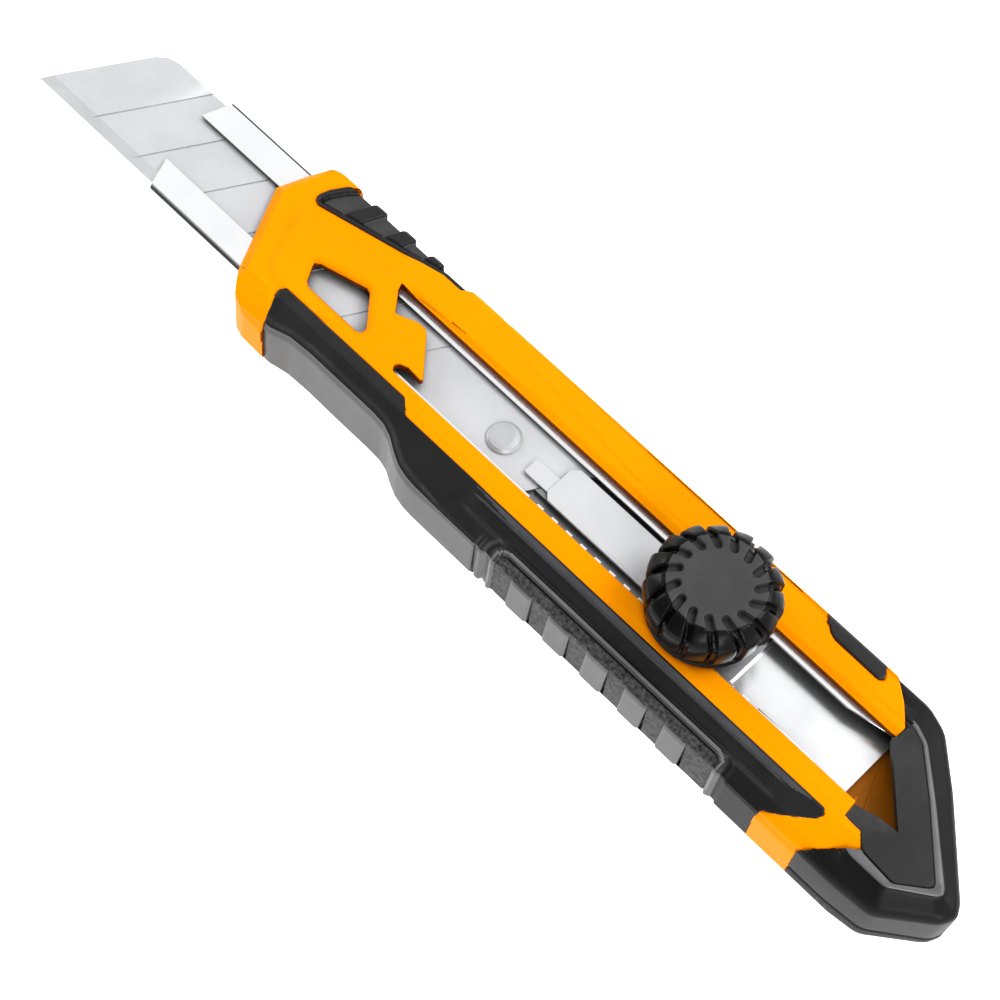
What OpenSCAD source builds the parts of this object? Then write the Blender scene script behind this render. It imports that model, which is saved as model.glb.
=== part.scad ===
// Snap off knife with a screw-locked slider, lying on its back face.
// Outlines are lists of [distance back from the blade's tip, distance from the blade's centreline].
// The centreline distance is positive on the finger side, which is also the cutting edge's side.

/* [Overall] */
// Length from the blade's tip to the back of the end cap
overall_len = 188.6; // [188.4:0.1:189]
// Thickness of the handle, from its back face to its front face
handle_thick = 14; // [13.8:0.1:14.4]
// Sideways shift that centres the knife's outline on the origin
centre_shift = -1.3; // [-1.4:0.05:-1.2]

/* [Blade] */
// Width of the blade
blade_w = 18; // [17.8:0.1:18]
// Length of one cutting edge
blade_len = 100; // [98:1:101]
// Thickness of the blade
blade_t = 0.5; // [0.4:0.05:0.5]
// Distance between two score lines
segment_pitch = 10; // [9:0.5:11]
// Number of score lines
score_count = 7; // [5:1:7]
// Angle of the score lines and of the tip, from the cutting edge
score_angle = 60; // [58:1:65]
// Width of the ground bevel along the cutting edge
bevel_w = 1.9; // [1.2:0.1:2.4]

/* [Channel] */
// Outer width of the steel channel
channel_w = 20; // [19.8:0.1:20.2]
// Thickness of its sheet
sheet_t = 0.6; // [0.5:0.05:0.6]
// Inner edge of the thumb-side lip, from the centreline
lip_gap_half = 4.6; // [4.4:0.1:4.8]
// Inner edge of the notched finger-side lip, from the centreline
notched_lip_half = 4.8; // [4.6:0.1:4.9]
// Distance between the notches in the finger-side lip
notch_pitch = 2.9; // [2.5:0.1:3.5]

/* [Lock knob] */
// Distance of the knob's axis from the blade's tip
knob_station = 134.4; // [134:0.1:134.6]
// Largest radius of the knob
knob_r = 10.1; // [9.7:0.1:10.2]
// Height of the knob
knob_h = 9.8; // [9:0.1:11]
// Number of slots round the knob
knob_slots = 15; // [12:1:18]
// Radius of the lock bolt's thread
bolt_r = 2.5; // [2.4:0.1:2.6]

/* [Grip] */
// Distance between two smooth pads
pad_pitch = 7.6; // [7.2:0.1:7.8]
// Number of smooth pads
pad_count = 5; // [3:1:5]

/* [Hidden] */
$fn = 64;

tip_x = overall_len / 2;
slide_gap = 0.05;      // between the lips and what lies against them
blade_gap = 0.3;       // between the blade and the lips above it
cap_gap = 0.15;        // between the end cap and the handle
turn_gap = 0.05;       // between the bolt and what turns on it
eps = 0.01;

thumb_y = -13.2;       // thumb-side wall
belly_y = 15.8;        // finger-side wall at the belly
neck_y = 12.4;         // finger-side wall at the neck
core_y = 11.4;         // hard body's own wall under the finger grip

front_wall = 1.6;      // thickness of the front wall over the channel
lip_top = handle_thick - front_wall - slide_gap;
lip_under = lip_top - sheet_t;
blade_z = lip_under - blade_gap - blade_t;
channel_h = 3.6;
channel_z = lip_top - channel_h;
floor_top = channel_z + sheet_t;
carrier_z = floor_top + 0.1;
carrier_top = blade_z - 0.1;
channel_end = 165.7;
plate_top = lip_top - slide_gap;
knob_z = handle_thick + 0.4;

black = [0.13, 0.13, 0.14];
grip_black = [0.2, 0.2, 0.21];
orange = [1, 0.66, 0];
steel = [0.86, 0.87, 0.88];

// Turns an outline into points of the part's own frame
function placed(outline) = [for (p = outline) [tip_x - p[0], p[1] + centre_shift]];

// A flat slab with the given outline, from height low to height high
module slab(outline, low, high) {
    translate([0, 0, low]) linear_extrude(high - low) polygon(placed(outline));
}

// A box between two stations, two sides and two heights
module block(s, y, z) {
    translate([tip_x - s[1], y[0] + centre_shift, z[0]]) cube([s[1] - s[0], y[1] - y[0], z[1] - z[0]]);
}

// Moves a shape to a station on the knife's length
module at(s, y = 0, z = 0) {
    translate([tip_x - s, y + centre_shift, z]) children();
}

// A cross-section, drawn as [y, z], stretched from station s[0] to station s[1]
module along(s) {
    translate([tip_x - s[1], centre_shift, 0]) rotate([90, 0, 90]) linear_extrude(s[1] - s[0]) children();
}

// A triangular prism that cuts a bevel along the top edge from a to b
module edge_cut(a, b, inset, drop, height) {
    p = placed([a, b]);
    run = p[1] - p[0];
    translate([p[0][0], p[0][1], height]) rotate([0, 0, atan2(run[1], run[0])])
        rotate([90, 0, 90]) translate([0, 0, -6]) linear_extrude(norm(run) + 12)
            polygon([[inset, eps], [-1, eps], [-1, -drop * (1 + 1 / inset)]]);
}

// ---- Handle ----

handle_outline = [[46.4, thumb_y], [43.4, -12], [42.5, -10.4], [40.3, -4], [47.4, 10.4], [49.8, 13.2],
    [52.2, 14.1], [56.4, 14.1], [57.6, 13.6], [61, 12.7], [66, neck_y], [79.3, neck_y], [82.8, 13.3],
    [86.4, 15.3], [89.4, belly_y], [178.2, belly_y], [180.2, 15.2], [187.6, 9.6], [188.6, 8], [188.6, 6.6], [187.6, 5.4],
    [176.8, -5.9], [171, -11.3], [169, -12.6], [166.2, thumb_y]];
front_y = 9.6;         // where the front face starts to slope to the finger side
cap_front_y = 12.1;    // the same on the end cap, whose front face is wider
slope_drop = 3.1;      // how far it drops by the belly's wall
edge_r = 1.4;          // thumb-side front edge
back_r = 1.8;          // both back edges
// Side view, as [distance back, height]: the back face rises at the nose and at the end cap
side_view = [[39, 2.4], [84, 0], [172, 0], [overall_len + 1, 1.9], [overall_len + 1, 15], [39, 15]];

// Points along an arc about a centre, from one angle to another
function arc(centre, r, from, to, steps = 8) =
    [for (i = [0 : steps]) let (a = from + (to - from) * i / steps) centre + r * [cos(a), sin(a)]];

// The whole handle's cross-section, whose front face ends at flat_end on the finger side
module handle_section(flat_end) {
    polygon(concat(
        arc([thumb_y + edge_r, handle_thick - edge_r], edge_r, 180, 90),
        [[flat_end, handle_thick], [belly_y, handle_thick - slope_drop]],
        arc([belly_y - back_r, back_r], back_r, 0, -90),
        arc([thumb_y + back_r, back_r], back_r, -90, -180)));
}

// The handle, its grips and its end cap as one outer shape
module whole_handle(flat_end = front_y) {
    difference() {
        intersection() {
            slab(handle_outline, 0, handle_thick);
            along([0, overall_len]) handle_section(flat_end);
            translate([0, 20, 0]) rotate([90, 0, 0]) linear_extrude(40)
                polygon([for (p = side_view) [tip_x - p[0], p[1]]]);
        }
        edge_cut([42.5, -10.4], [40.3, -4], 1.5, 1.5, handle_thick);
        edge_cut([40.3, -4], [47.4, 10.4], 1.5, 1.5, handle_thick);
        edge_cut([187.6, 5.4], [176.8, -5.9], 1.3, 1.6, handle_thick);
        edge_cut([176.8, -5.9], [171, -11.3], 1.3, 1.6, handle_thick);
        edge_cut([180.2, 15.2], [187.6, 9.6], 1.3, 1.6, handle_thick);
    }
}

// Where the end cap meets the handle, on the thumb side of the window and on its finger side
thumb_edge = [[159, thumb_y - 1], [159.6, thumb_y], [163.1, -10.4], [165.7, -7.6], [165.7, -5.8],
    [165.2, -5]];
finger_edge = [[168, 6.2], [168.2, 8.4], [171.2, 8.5], [173, 10.4], [170.4, 12.4], [168.4, 14.2],
    [166.6, belly_y], [166.6, belly_y + 1]];
cap_zone = concat(thumb_edge, [[174.9, 4.9], [171.5, 5.2]], finger_edge,
    [[overall_len + 1, belly_y + 1], [overall_len + 1, thumb_y - 1]]);
body_zone = concat([[40, belly_y + 1], [40, thumb_y - 1]], thumb_edge, finger_edge);

small_window = [[54.5, 1.4], [55.4, 0.8], [63.2, -1.4], [64, -1.2], [68.2, 3.6], [68.1, 4.6], [67.4, 4.9],
    [57, 4.9], [56.2, 4.4]];
window_half = 5.7;
// The long window's front end, with the tab and the small notch below it
long_window = [[66.2, -window_half], [66.6, -4.7], [69.2, -1.5], [69.9, -1.7], [72.6, -2.9], [74.1, -3],
    [75, -2.4], [80.2, 3.4], [80, 3.9], [77.3, 3.7], [76, 4.2], [75.6, 4.9], [76.1, window_half],
    [168.5, window_half], [168.5, -window_half]];

finger_zone = [[54.6, 8.6], [55.2, 7.7], [80.6, 7.6], [82.8, front_y], [165.6, front_y], [166.2, 10.4],
    [165.7, 11.4], [162, 13.9], [159.6, 15], [158.5, belly_y + 1], [56.8, belly_y + 1], [56.3, 13.2]];
finger_side_zone = [[56.2, core_y], [161, core_y], [161, 14.4], [159.6, 15], [158.5, belly_y + 1],
    [56.8, belly_y + 1]];
thumb_zone = [[50, thumb_y - 1], [49.7, thumb_y], [48.2, -11.5], [46.8, -9.1], [46.3, -7.4], [46.6, -6.5],
    [47.6, -6.1], [70.2, -11.6],
    [75.9, thumb_y], [75.9, thumb_y - 1]];
thumb_side_zone = [[50, thumb_y - 1], [50, -11.4], [73, -11.4], [75.9, thumb_y - 1]];
inlay_zone = [[146.2, thumb_y - 1], [146.2, thumb_y], [148.7, -10.9], [149.8, -10.4], [158.2, -10.3],
    [158.9, -10.9], [157.6, thumb_y], [157.6, thumb_y - 1]];
grip_depth = 1.5;      // depth of the grips below the front face

module finger_grip_space() {
    slab(finger_zone, handle_thick - slope_drop - 1.2, handle_thick + 1);
    slab(finger_side_zone, -1, handle_thick);
}

module thumb_rest_space() {
    slab(thumb_zone, handle_thick - grip_depth, handle_thick + 1);
    slab(thumb_side_zone, 3, handle_thick);
}

module rear_inlay_space() {
    slab(inlay_zone, handle_thick - grip_depth, handle_thick + 1);
    block([147.4, 157.6], [thumb_y - 1, thumb_y + 1.6], [3, handle_thick]);
}

// The space that the finger grip may not take from the hard body
module hard_core() {
    block([40, 170], [thumb_y - 1, core_y], [-1, handle_thick - grip_depth]);
}

module handle_body() {
    color(orange) {
        difference() {
            intersection() {
                whole_handle();
                slab(body_zone, -1, handle_thick + 1);
            }
            difference() {
                finger_grip_space();
                hard_core();
            }
            thumb_rest_space();
            rear_inlay_space();
            block([30, 190], [-channel_w / 2, channel_w / 2], [channel_z, lip_top + slide_gap]);
            slab(small_window, lip_top, handle_thick + 1);
            slab(long_window, lip_top, handle_thick + 1);
            block([62, 190], [-9.5, 8.5], [2, channel_z - front_wall]);
            block([80.6, 82.4], [thumb_y - 1, thumb_y + 0.5], [3, handle_thick + 1]);
        }
        slab([[150, -9.5], [167, -9.5], [176.4, -0.1], [176.4, 8.5], [150, 8.5]], channel_z - front_wall,
            channel_z);
    }
}

module finger_grip() {
    color(grip_black) difference() {
        intersection() {
            whole_handle();
            finger_grip_space();
        }
        hard_core();
        grip_pad_spaces();
        // Two upright grooves in front of the pads
        for (s = [103.6, 105.4])
            block([s, s + 0.7], [belly_y - 0.6, belly_y + 1], [1, handle_thick - slope_drop - 0.5]);
    }
}

// Smooth pads let into the belly's wall
module grip_pad_spaces() {
    for (i = [0 : pad_count - 1])
        at(111 + i * pad_pitch, belly_y - 1, 1.3) rotate([90, 0, 180])
            translate([0, 0, -1]) linear_extrude(2)
                polygon([[0.3, 0], [4.5, 0], [4.2, 8.8], [0, 8.8]]);
}

module grip_pads() {
    color([0.5, 0.5, 0.51]) intersection() {
        whole_handle();
        grip_pad_spaces();
    }
}

module thumb_rest() {
    color(grip_black) intersection() {
        whole_handle();
        difference() {
            thumb_rest_space();
            // Valleys between the three ridges
            for (s = [[51, 53.4], [56.6, 59.6], [62.6, 65.6], [68.6, 73]])
                block(s, [thumb_y - 1, thumb_y + 0.8], [4, handle_thick + 1]);
        }
    }
}

module rear_inlay() {
    color(grip_black) intersection() {
        whole_handle();
        rear_inlay_space();
    }
}

// Hollow inside the end cap, open towards the handle
cap_hollow = [[158, -10.9], [167.3, -10.9], [183.6, 5.4], [184.6, 8], [178.8, 12.6], [158, 12.6]];

module end_cap() {
    color(black) {
        difference() {
            intersection() {
                whole_handle(cap_front_y);
                translate([-cap_gap, 0, 0]) slab(cap_zone, -1, handle_thick + 1);
            }
            slab(cap_hollow, 2, lip_top + slide_gap);
        }
        // Two prongs on a raised step that plug into the handle's lower hollow
        for (y = [[-9.2, -6.2], [5.2, 8.2]])
            block([154, 169], y, [2.3, 4.3]);
        slab([[168, -9.2], [168.6, -9.2], [182, 4.2], [182, 8.2], [168, 8.2]], 2 - eps, 4.3);
    }
}

// ---- Channel and blade ----

channel_nose = [[24.2, -channel_w / 2 - 1], [24.2, -9.7], [22.6, -4.5], [25, 4.8], [27, 9.8],
    [27, channel_w / 2 + 1], [channel_end, channel_w / 2 + 1], [channel_end, -channel_w / 2 - 1]];
bend_r = 0.8;
notch_len = 1.7;

module channel_section() {
    half = channel_w / 2;
    difference() {
        union() {
            translate([-half + bend_r, channel_z]) square([channel_w - 2 * bend_r, channel_h]);
            translate([-half, channel_z + bend_r]) square([channel_w, channel_h - 2 * bend_r]);
            for (y = [-half + bend_r, half - bend_r], z = [channel_z + bend_r, lip_top - bend_r])
                translate([y, z]) circle(bend_r);
        }
        translate([-half + sheet_t, floor_top]) square([channel_w - 2 * sheet_t, lip_under - floor_top]);
        translate([-lip_gap_half, lip_under - eps])
            square([lip_gap_half + notched_lip_half, sheet_t + 1]);
    }
}

module blade_channel() {
    color(steel) difference() {
        intersection() {
            along([20, channel_end]) channel_section();
            slab(channel_nose, 0, handle_thick);
        }
        // Flared mouth where the slider goes in
        for (side = [-1, 1])
            slab([[157, side * (lip_gap_half - 0.2)], [channel_end + 1, side * 6.4],
                [channel_end + 1, side * (lip_gap_half - 0.2)]], lip_under - eps, lip_top + 1);
        // Notches along the finger-side lip
        for (i = [0 : 15])
            block([104 + i * notch_pitch, 104 + i * notch_pitch + notch_len],
                [notched_lip_half - 0.2, notched_lip_half + 0.5], [lip_under - eps, lip_top + 1]);
    }
}

slant = blade_w / tan(score_angle);
blade_half = blade_w / 2;
hole_station = 94.5;
stud_y = 0.5;

module blade_section() {
    polygon([[-blade_half, blade_z], [-blade_half, blade_z + blade_t],
        [blade_half - bevel_w, blade_z + blade_t], [blade_half, blade_z + blade_t / 2 + 0.03],
        [blade_half, blade_z + blade_t / 2 - 0.03], [blade_half - bevel_w, blade_z]]);
}

module blade() {
    color([0.82, 0.83, 0.84]) difference() {
        intersection() {
            along([-1, blade_len + slant + 1]) blade_section();
            slab([[0, blade_half], [slant - 1.4, -blade_half + 1.9], [slant + 0.2, -blade_half + 0.5],
                [slant + 2.2, -blade_half], [blade_len + slant, -blade_half], [blade_len, blade_half]],
                0, handle_thick);
        }
        // Score lines, pressed into the top face only
        for (i = [1 : score_count])
            slab([[i * segment_pitch - 0.16, blade_half + 1], [i * segment_pitch + slant - 0.16, -blade_half],
                [i * segment_pitch + slant + 0.16, -blade_half], [i * segment_pitch + 0.16, blade_half + 1]],
                blade_z + blade_t - 0.15, blade_z + 1);
        at(hole_station, stud_y, 0) cylinder(r = 2.05, h = handle_thick);
    }
}

// ---- Slider ----

carrier_front = 88;
carrier_back = 143.5;
carrier_half = 9.1;
carrier_chamfer = 3;   // rear corners, which pass the end cap's slanted wall
plate_back = 141;
rivet_r = 1.6;         // stud's shank in the carrier
bolt_head = 8.2;       // width of the lock bolt's square head
head_t = 0.9;
head_gap = 0.1;

module slide_carrier() {
    corner = carrier_back - carrier_chamfer;
    color([0.55, 0.56, 0.58]) difference() {
        union() {
            slab([[carrier_front, 1 - carrier_half], [carrier_front + 1, -carrier_half],
                [corner, -carrier_half], [carrier_back, carrier_chamfer - carrier_half],
                [carrier_back, carrier_half - carrier_chamfer], [corner, carrier_half],
                [carrier_front + 1, carrier_half], [carrier_front, carrier_half - 1]],
                carrier_z, carrier_top);
            // Raised middle that runs between the lips, behind the blade
            slab([[blade_len + 3.6, 3.3], [blade_len + 7.7, -3.7], [plate_back, -3.7], [plate_back, 3.3]],
                carrier_top - eps, lip_under);
        }
        at(knob_station) cylinder(r = bolt_r + turn_gap, h = handle_thick);
        at(hole_station, stud_y) cylinder(r = rivet_r, h = handle_thick);
        square_pocket(bolt_head / 2 + head_gap, carrier_z + head_t);
    }
}

// A square space centred on the knob's axis, from the back up to a height
module square_pocket(half, height) {
    block([knob_station - half, knob_station + half], [-half, half], [0, height]);
}

module blade_stud() {
    color([0.75, 0.76, 0.77]) at(hole_station, stud_y) rotate_extrude()
        polygon([[0, carrier_z + 0.1], [rivet_r, carrier_z + 0.1], [rivet_r, carrier_top],
            [2, carrier_top], [2, blade_z + blade_t + 0.02], [2.75, blade_z + blade_t + 0.02],
            [2.7, blade_z + blade_t + 0.35], [2.3, plate_top - 0.15], [1.5, plate_top], [0, plate_top]]);
}

plate_front = 105.1;
tongue_step = 103.2;   // where the tongue steps down to the blade

module hold_down_plate() {
    color([0.88, 0.88, 0.89]) difference() {
        union() {
            slab([[plate_front, -2.7], [plate_front + 1.1, -3.8], [plate_back, -3.8], [plate_back, 3.4],
                [plate_front + 1.1, 3.4], [plate_front, 2.3]], lip_under, plate_top);
            // Tongue, whose low tip lies on top of the blade's rear end
            slab([[100.4, -0.3], [100.7, -0.5], [tongue_step, -0.5], [tongue_step, 2.4],
                [100.7, 2.4], [100.4, 2.2]], blade_z + blade_t + slide_gap, lip_under + 0.4);
            slab([[tongue_step - eps, -0.5], [plate_front + eps, -0.5], [plate_front + eps, 2.4],
                [tongue_step - eps, 2.4]], lip_under, lip_under + 0.4);
        }
        at(knob_station) cylinder(r = bolt_r + turn_gap, h = handle_thick);
    }
}

knob_cover = 2.2;      // thickness of the knob's top over the insert
bolt_foot = carrier_z + 0.5;
bolt_top = knob_z + knob_h - knob_cover - 0.4;

module lock_bolt() {
    color(steel) {
        at(knob_station, 0, bolt_foot) cylinder(r = bolt_r, h = bolt_top - bolt_foot);
        block([knob_station - bolt_head / 2, knob_station + bolt_head / 2],
            [-bolt_head / 2, bolt_head / 2], [carrier_z, carrier_z + head_t]);
    }
}

// ---- Lock ----

washer_z = lip_top + slide_gap;
washer_r = 5.3;
washer_t = 0.6;
spring_t = 0.35;       // sheet of the spring washer
spring_rise = 0.35;    // height of its cone
hub_z = washer_z + washer_t + spring_t + spring_rise + turn_gap;

module pressure_washer() {
    color(steel) at(knob_station, 0, washer_z) difference() {
        cylinder(r = washer_r, h = washer_t);
        translate([0, 0, -1]) cylinder(r = bolt_r + turn_gap, h = 3);
    }
}

module spring_washer() {
    color([0.6, 0.61, 0.63]) at(knob_station, 0, washer_z + washer_t) rotate_extrude()
        polygon([[bolt_r + 0.3, spring_rise], [4.4, 0], [4.4, spring_t],
            [bolt_r + 0.3, spring_rise + spring_t]]);
}

hub_r = 4.7;
insert_r = 3.9;

module knob() {
    slot_turn = 25;    // slant of the slots from the radius
    slot_half = 0.55;
    color(black) at(knob_station) difference() {
        rotate_extrude() polygon([[insert_r, hub_z], [hub_r, hub_z], [hub_r, knob_z],
            [knob_r - 1.6, knob_z], [knob_r - 1.4, knob_z + 1], [knob_r - 0.1, knob_z + 4.9],
            [knob_r, knob_z + 7.4], [knob_r - 0.9, knob_z + 9], [knob_r - 2.5, knob_z + knob_h],
            [0, knob_z + knob_h], [0, knob_z + knob_h - knob_cover],
            [insert_r, knob_z + knob_h - knob_cover]]);
        for (i = [0 : knob_slots - 1])
            rotate([0, 0, i * 360 / knob_slots]) translate([5.2, 0, knob_z + 1.2]) rotate([0, 0, slot_turn]) {
                cylinder(r = slot_half, h = knob_h, $fn = 24);
                translate([0, -slot_half, 0]) cube([8, 2 * slot_half, knob_h]);
            }
    }
}

module knob_insert() {
    color([0.8, 0.66, 0.36]) at(knob_station, 0, hub_z) difference() {
        cylinder(r = insert_r, h = knob_z + knob_h - knob_cover - hub_z);
        translate([0, 0, -1]) cylinder(r = bolt_r + turn_gap, h = knob_h + 4);
    }
}

handle_body();
finger_grip();
grip_pads();
thumb_rest();
rear_inlay();
end_cap();
blade_channel();
blade();
slide_carrier();
blade_stud();
hold_down_plate();
lock_bolt();
pressure_washer();
spring_washer();
knob();
knob_insert();
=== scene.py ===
import math
from contextlib import contextmanager

import bmesh
import bpy
import numpy as np
from mathutils import Matrix, Vector


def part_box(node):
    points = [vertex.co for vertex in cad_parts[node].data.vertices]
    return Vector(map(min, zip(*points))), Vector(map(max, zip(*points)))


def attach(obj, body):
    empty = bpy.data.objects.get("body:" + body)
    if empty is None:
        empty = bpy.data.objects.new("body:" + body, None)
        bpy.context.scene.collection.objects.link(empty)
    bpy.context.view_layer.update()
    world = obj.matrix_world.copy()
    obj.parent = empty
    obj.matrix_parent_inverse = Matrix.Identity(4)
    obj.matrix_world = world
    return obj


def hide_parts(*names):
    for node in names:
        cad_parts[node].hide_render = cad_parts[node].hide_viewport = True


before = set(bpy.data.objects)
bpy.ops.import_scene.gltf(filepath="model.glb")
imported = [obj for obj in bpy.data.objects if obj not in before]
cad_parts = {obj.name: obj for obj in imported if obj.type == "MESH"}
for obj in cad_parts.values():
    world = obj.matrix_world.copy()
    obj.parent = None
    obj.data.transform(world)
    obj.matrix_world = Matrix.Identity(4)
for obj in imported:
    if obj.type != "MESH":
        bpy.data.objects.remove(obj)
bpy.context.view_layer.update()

# ---- Places, in millimetres ----
# A point is [s, y, z]: s back from the blade's tip, y from the blade's centreline, z above the back face.

MM = 0.001
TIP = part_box("blade")[1].x / MM
MIDDLE = (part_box("blade_channel")[0].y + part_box("blade_channel")[1].y) / 2 / MM
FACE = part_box("handle_body")[1].z / MM
THUMB_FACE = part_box("handle_body")[0].y / MM - MIDDLE
CHANNEL_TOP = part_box("blade_channel")[1].z / MM
BLADE_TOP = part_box("blade")[1].z / MM
KNOB_LOW, KNOB_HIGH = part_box("knob")
KNOB_AXIS = (KNOB_LOW + KNOB_HIGH) / 2

SKIN = 0.03      # the reshaped surfaces lie about this far inside the CAD's


def place(s, y, z):
    return ((TIP - s) * MM, (MIDDLE + y) * MM, z * MM)


def stations(co):
    """Turns points of the row frame, in metres, into s, y and z in millimetres."""
    return TIP - co[:, 0] / MM, co[:, 1] / MM - MIDDLE, co[:, 2] / MM


def smooth(t):
    t = np.clip(t, 0, 1)
    return t * t * (3 - 2 * t)


def fade(x, start, end):
    """Runs smoothly from 0 at start to 1 at end, in either direction."""
    return smooth((x - start) / (end - start))


def along(points, s):
    """The value at s on a line of [s, value] points."""
    return np.interp(s, [p[0] for p in points], [p[1] for p in points])


def outline_distance(s, y, outline):
    """Distance to a closed outline, negative inside it."""
    s, y = np.asarray(s, float), np.asarray(y, float)
    best = np.full(s.shape, 1e9)
    inside = np.zeros(s.shape, bool)
    for (s0, y0), (s1, y1) in zip(outline, outline[1:] + outline[:1]):
        ds, dy = s1 - s0, y1 - y0
        t = np.clip(((s - s0) * ds + (y - y0) * dy) / (ds * ds + dy * dy), 0, 1)
        best = np.minimum(best, np.hypot(s - s0 - t * ds, y - y0 - t * dy))
        if dy:
            crosses = (y0 > y) != (y1 > y)
            inside ^= crosses & (s < s0 + ds * (y - y0) / dy)
    return np.where(inside, -best, best)


def line_distance(s, y, a, b):
    """Signed distance from the line through a and b."""
    ds, dy = b[0] - a[0], b[1] - a[1]
    return ((y - a[1]) * ds - (s - a[0]) * dy) / math.hypot(ds, dy)


# ---- Mesh tools ----


@contextmanager
def editing(o):
    """Opens an object's mesh as a bmesh and writes it back afterwards."""
    bm = bmesh.new()
    bm.from_mesh(o.data)
    yield bm
    bm.to_mesh(o.data)
    bm.free()


def new_object(name, data):
    o = bpy.data.objects.new(name, data)
    bpy.context.scene.collection.objects.link(o)
    return o


def from_points(name, points, faces):
    mesh = bpy.data.meshes.new(name)
    mesh.from_pydata([tuple(p) for p in points], [], faces)
    mesh.validate()
    mesh.update()
    return new_object(name, mesh)


def closed_from_points(name, points, faces):
    """A closed solid with every face turned outwards."""
    o = from_points(name, points, faces)
    with editing(o) as bm:
        bmesh.ops.recalc_face_normals(bm, faces=bm.faces)
    return o


def copy_node(node, name):
    """A copy of a CAD node's mesh, with the loose vertices of its triangles joined."""
    o = new_object(name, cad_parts[node].data.copy())
    o.data.materials.clear()
    with editing(o) as bm:
        bmesh.ops.remove_doubles(bm, verts=bm.verts, dist=0.003 * MM)
        bmesh.ops.dissolve_degenerate(bm, edges=bm.edges, dist=0.001 * MM)
        bm.normal_update()
    return o


def applied(o):
    """Replaces an object's mesh by what its modifiers make of it."""
    graph = bpy.context.evaluated_depsgraph_get()
    mesh = bpy.data.meshes.new_from_object(o.evaluated_get(graph))
    o.modifiers.clear()
    o.data = mesh
    return o


def keep_inside(o, cutter):
    """Cuts away what of an object lies outside the cutter."""
    m = o.modifiers.new("cut", "BOOLEAN")
    m.operation = "INTERSECT"
    m.solver = "EXACT"
    m.object = cutter
    applied(o)
    bpy.data.objects.remove(cutter)


def edge_room(e):
    """Length of the shortest edge that a rounding of this edge would run along."""
    room = e.calc_length()
    for v in e.verts:
        onward = (e.other_vert(v).co - v.co).normalized()
        for other in v.link_edges:
            reach = other.other_vert(v).co - v.co
            if other is not e and reach.normalized().dot(onward) > -0.97:
                room = min(room, reach.length)
    return room


def rounded(o, width, segments=3, angle=30, shortest=0.0):
    """Rounds edges sharper than angle, in degrees, and less where neighbouring edges are short.
    Width and the shortest edge that is rounded are in millimetres."""
    with editing(o) as bm:
        layers = bm.edges.layers.float
        weight = layers.get("bevel_weight_edge") or layers.new("bevel_weight_edge")
        sharp = {
            e: min(1.0, 0.45 * edge_room(e) / (width * MM))
            for e in bm.edges
            if len(e.link_faces) == 2
            and e.calc_length() >= shortest * MM
            and e.calc_face_angle(0) >= math.radians(angle)
        }
        for _ in range(3):
            # Edges under 1.5 mm follow the narrowest of their neighbours
            sharp = {
                e: min([w] + [1.3 * sharp[n] for v in e.verts for n in v.link_edges if n in sharp])
                if e.calc_length() < 1.5 * MM else w
                for e, w in sharp.items()
            }
        for e, w in sharp.items():
            e[weight] = w
    m = o.modifiers.new("edges", "BEVEL")
    m.width = width * MM
    m.segments = segments
    m.limit_method = "WEIGHT"
    m.use_clamp_overlap = False
    m.miter_outer = "MITER_ARC"
    return applied(o)


def weld(o, split):
    """Joins points that lie together and drops tiny faces folded onto the surface.
    With split, faces with more than four corners are cut up first."""
    smallest = 0.01 * MM * MM
    with editing(o) as bm:
        bmesh.ops.remove_doubles(bm, verts=bm.verts, dist=0.001 * MM)
        if split:
            bmesh.ops.triangulate(bm, faces=[f for f in bm.faces if len(f.verts) > 4])
        same = {}
        for f in bm.faces:
            same.setdefault(frozenset(f.verts), []).append(f)
        stray = {f for group in same.values() if len(group) > 1 for f in group}
        stray |= {f for f in bm.faces if f.calc_area() < smallest and any(e.is_boundary for e in f.edges)}
        bmesh.ops.delete(bm, geom=list(stray), context="FACES")


def shade(o, angle=35, weighted=True, split=True):
    """Smooth shading up to an angle, with flat faces kept flat."""
    weld(o, split)
    for p in o.data.polygons:
        p.use_smooth = True
    o.data.set_sharp_from_angle(angle=math.radians(angle))
    if weighted:
        m = o.modifiers.new("normals", "WEIGHTED_NORMAL")
        m.mode = "FACE_AREA"
        m.keep_sharp = True
        m.weight = 80
        applied(o)


def slice_front(o, s_range, y_range, step):
    """Cuts the front face along a grid, so that it can be reshaped."""
    above = FACE - 0.6
    lows = place(s_range[1], y_range[0], 0)
    highs = place(s_range[0], y_range[1], 0)
    with editing(o) as bm:
        for axis, normal in ((0, (1, 0, 0)), (1, (0, 1, 0))):
            for at in np.arange(lows[axis], highs[axis], step * MM):
                geom = set()
                for f in bm.faces:
                    if f.normal.z > 0.2 and f.calc_center_median().z > above * MM:
                        geom.add(f)
                        geom.update(f.edges)
                        geom.update(f.verts)
                where = [0.0, 0.0, 0.0]
                where[axis] = at
                bmesh.ops.bisect_plane(bm, geom=list(geom), dist=1e-7, plane_co=where, plane_no=normal)


def lower_front(o, depth):
    """Lowers the front face by depth(s, y), in millimetres."""
    co = np.array([v.co for v in o.data.vertices], float)
    s, y, z = stations(co)
    drop = depth(s, y) * fade(z, FACE - 0.5, FACE - 0.1)
    for v, d in zip(o.data.vertices, drop):
        v.co.z -= d * MM
    o.data.update()


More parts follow.
